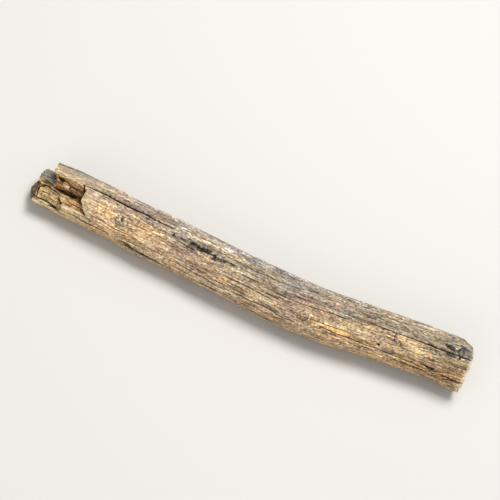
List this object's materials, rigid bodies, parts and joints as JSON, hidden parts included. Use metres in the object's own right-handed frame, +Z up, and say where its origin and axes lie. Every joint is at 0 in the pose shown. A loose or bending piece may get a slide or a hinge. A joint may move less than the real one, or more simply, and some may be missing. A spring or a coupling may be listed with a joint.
{
  "type": "wooden stick",
  "caption": "Weathered length of old branch, barkless and slightly bent, with drying cracks, a squarely snapped end and a split, stepped broken end. Lies on a surface.",
  "frame": {"origin": "under the middle of the stick's bounding box, on the plane that it lies on", "axes": "+X along the stick from its split end to its snapped end, +Z up, and the bend bulges towards -Y"},
  "size_m": [0.3356, 0.048, 0.0332],
  "materials": {
    "weathered_wood": "bare weathered wood, rough and matt, tan with grey-brown grooves"
  },
  "bodies": {
    "root": {"stick": "weathered_wood"}
  },
  "joints": []
}
